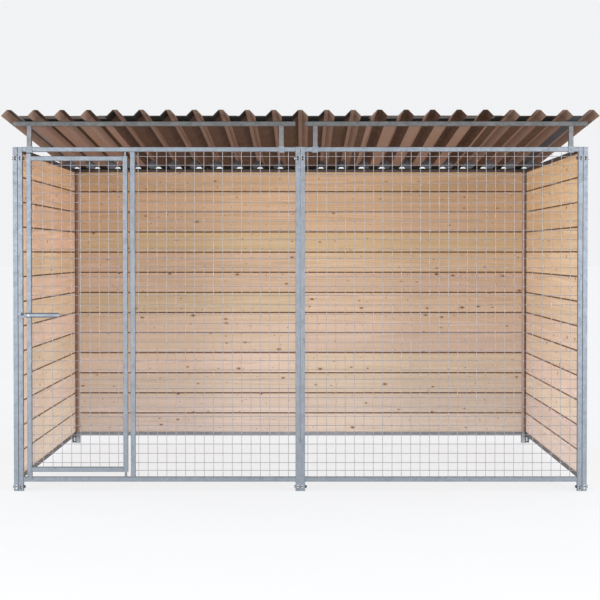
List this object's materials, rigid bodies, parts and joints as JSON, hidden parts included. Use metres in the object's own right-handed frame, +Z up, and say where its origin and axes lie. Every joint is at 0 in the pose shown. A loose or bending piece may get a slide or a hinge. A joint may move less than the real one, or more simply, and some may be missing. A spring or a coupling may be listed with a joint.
{
  "type": "dog kennel",
  "caption": "Outdoor dog kennel with a mesh front, hinged door with lever latch, boarded side and rear walls, and a sloping trapezoid-sheet roof on raised rails.",
  "frame": {"origin": "on the ground, at the centre of the roof's outline, which is also the centre of the kennel's footprint", "axes": "+Z up, +X to the right seen from the front, the mesh front faces -Y"},
  "size_m": [3.1088, 2.3161, 2.0122],
  "materials": {
    "galvanised": "hot-dip galvanised, mottled, matt",
    "mesh_wire": "galvanised wire, matt",
    "wood": "planed softwood boards, untreated",
    "roof_sheet": "coated steel sheet, anthracite above and brown below",
    "fastener": "zinc plated",
    "nut_dark": "black oxide",
    "seal": "sealing rubber"
  },
  "bodies": {
    "kennel": {"front_left_frame": "galvanised", "front_right_frame": "galvanised", "rear_left_frame": "galvanised", "rear_right_frame": "galvanised", "left_side_frame": "galvanised", "right_side_frame": "galvanised", "front_left_mesh": "mesh_wire", "front_right_mesh": "mesh_wire", "rear_left_boards": "wood", "rear_right_boards": "wood", "left_side_boards": "wood", "right_side_boards": "wood", "roof_rail_left": "galvanised", "roof_rail_right": "galvanised", "roof_uprights": "galvanised", "roof_saddles": "galvanised", "roof_sheet_1": "roof_sheet", "roof_sheet_2": "roof_sheet", "roof_sheet_3": "roof_sheet", "roof_sheet_4": "roof_sheet", "roof_sheet_5": "roof_sheet", "roof_screws": "fastener", "roof_screw_washers": "seal", "saddle_screws": "fastener", "board_screws": "fastener", "panel_bolts": "fastener", "panel_nuts": "nut_dark", "panel_washers": "fastener", "latch_keeper": "galvanised"},
    "door": {"door_frame": "galvanised", "door_mesh": "mesh_wire", "upper_hinge_pin": "fastener", "lower_hinge_pin": "fastener", "door_stop": "galvanised", "latch_back_plate": "galvanised", "latch_pivot_bolt": "fastener", "latch_pivot_washers": "fastener", "latch_pivot_nut": "nut_dark"},
    "latch": {"latch_lever": "galvanised"}
  },
  "joints": [
    {"name": "door_hinge", "type": "hinge", "parent": "kennel", "child": "door", "pos_m": [-0.93, -0.9875, 0.94], "axis": [0, 0, 1], "range_deg": [0, 120]},
    {"name": "latch_pivot", "type": "hinge", "parent": "door", "child": "latch", "pos_m": [-1.4415, -1.01, 0.9375], "axis": [0, 1, 0], "range_deg": [-70, 8]}
  ]
}
